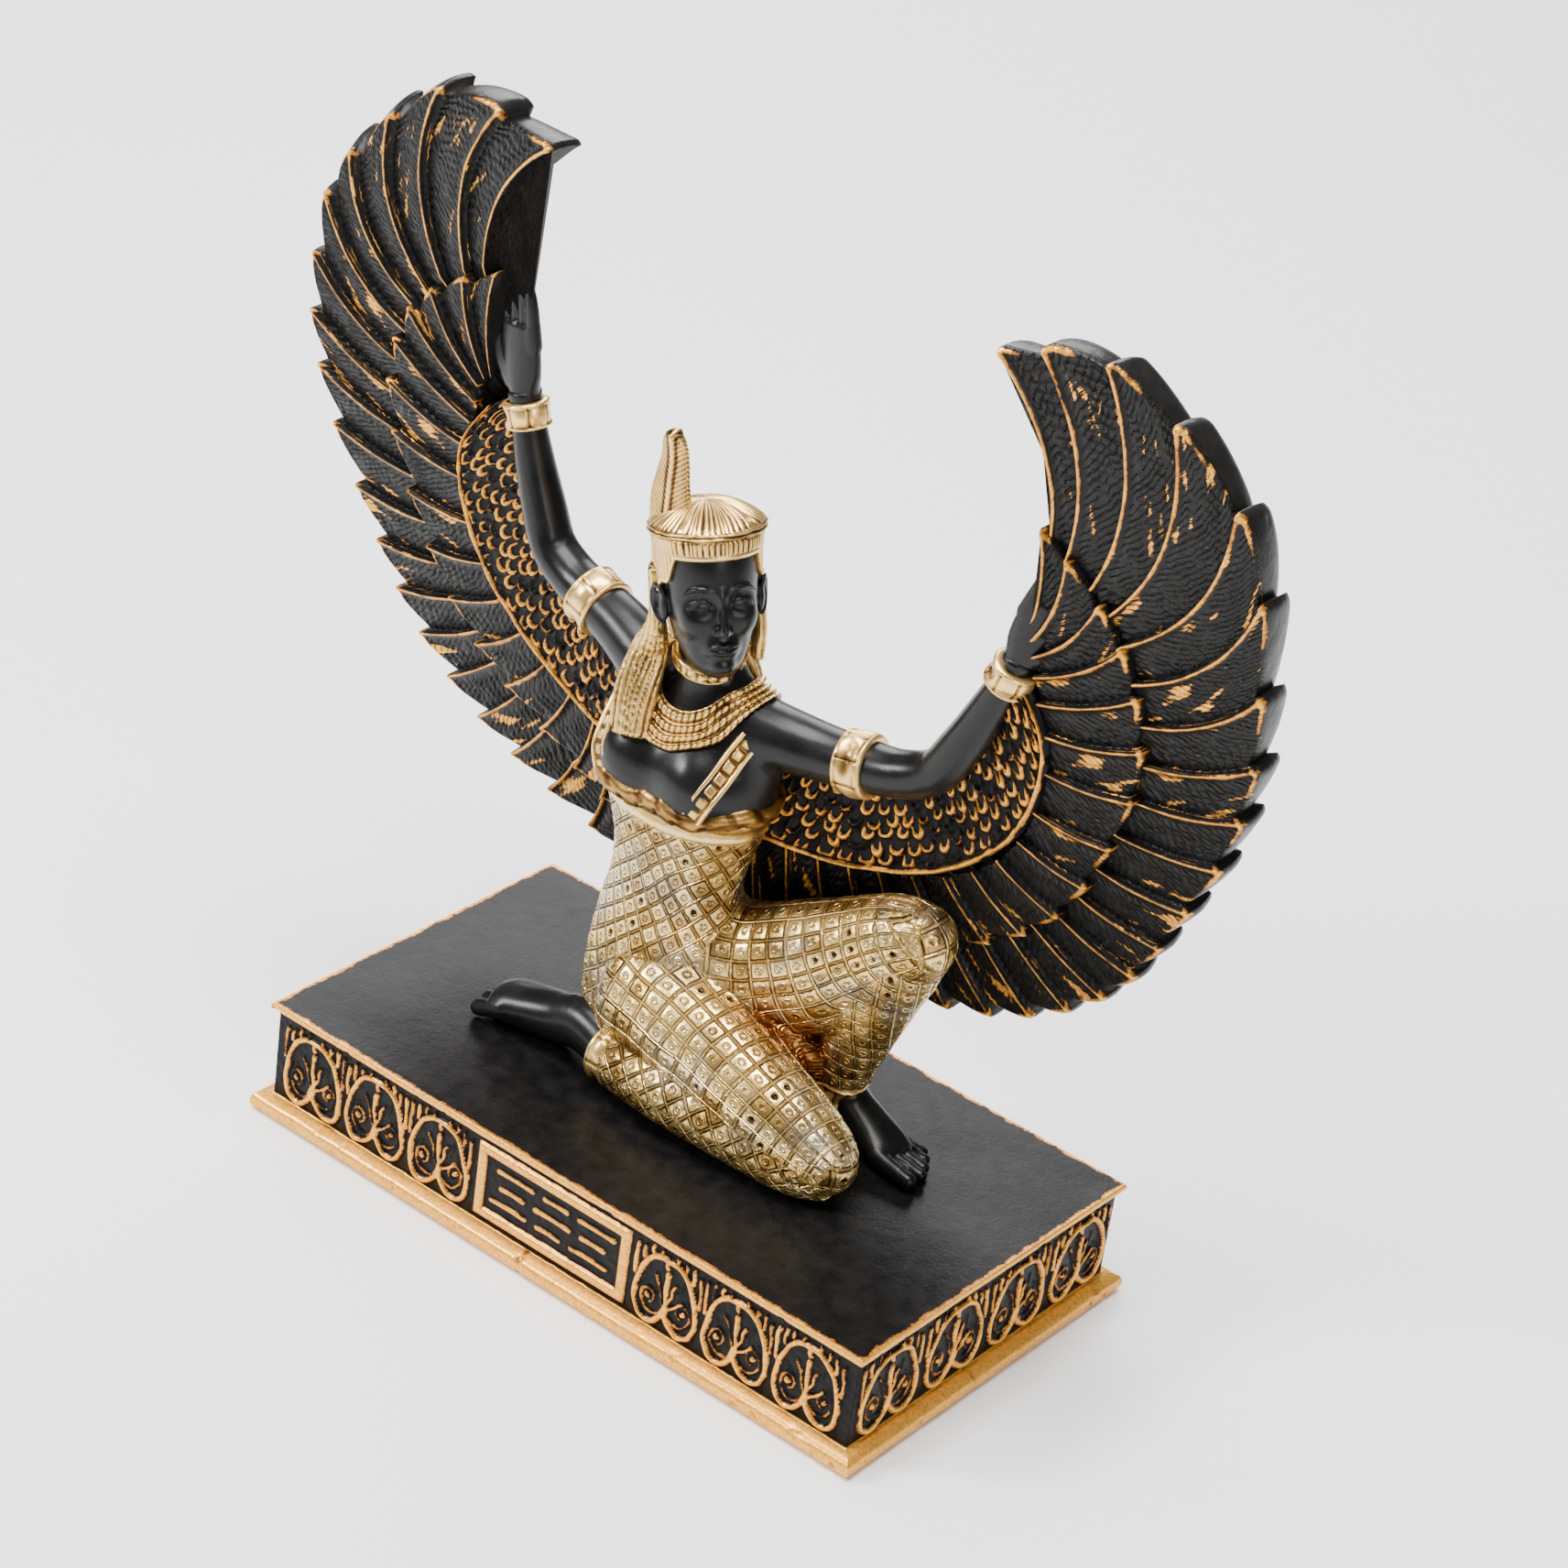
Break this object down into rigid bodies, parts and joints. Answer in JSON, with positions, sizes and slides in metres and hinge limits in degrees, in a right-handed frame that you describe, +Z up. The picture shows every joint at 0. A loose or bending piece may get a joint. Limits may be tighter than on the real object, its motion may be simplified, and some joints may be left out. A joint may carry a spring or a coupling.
{
  "type": "winged goddess figurine",
  "caption": "Small cast figure of a kneeling goddess with spread wings on an oblong plinth with relief sides, painted black and gold; stands on its flat underside as a table ornament.",
  "frame": {"origin": "centre of the plinth's underside", "axes": "+X along the plinth to the figure's left, -Y towards the front that the figure's chest faces, +Z up"},
  "size_m": [0.212, 0.0808, 0.1929],
  "materials": {
    "black_paint": "satin black paint over cast resin, worn to gold on raised edges",
    "gold_paint": "pale antique gold paint over cast resin, darker bronze in recesses"
  },
  "bodies": {
    "root": {"plinth": "black_paint", "winged_goddess": "gold_paint"}
  },
  "joints": []
}
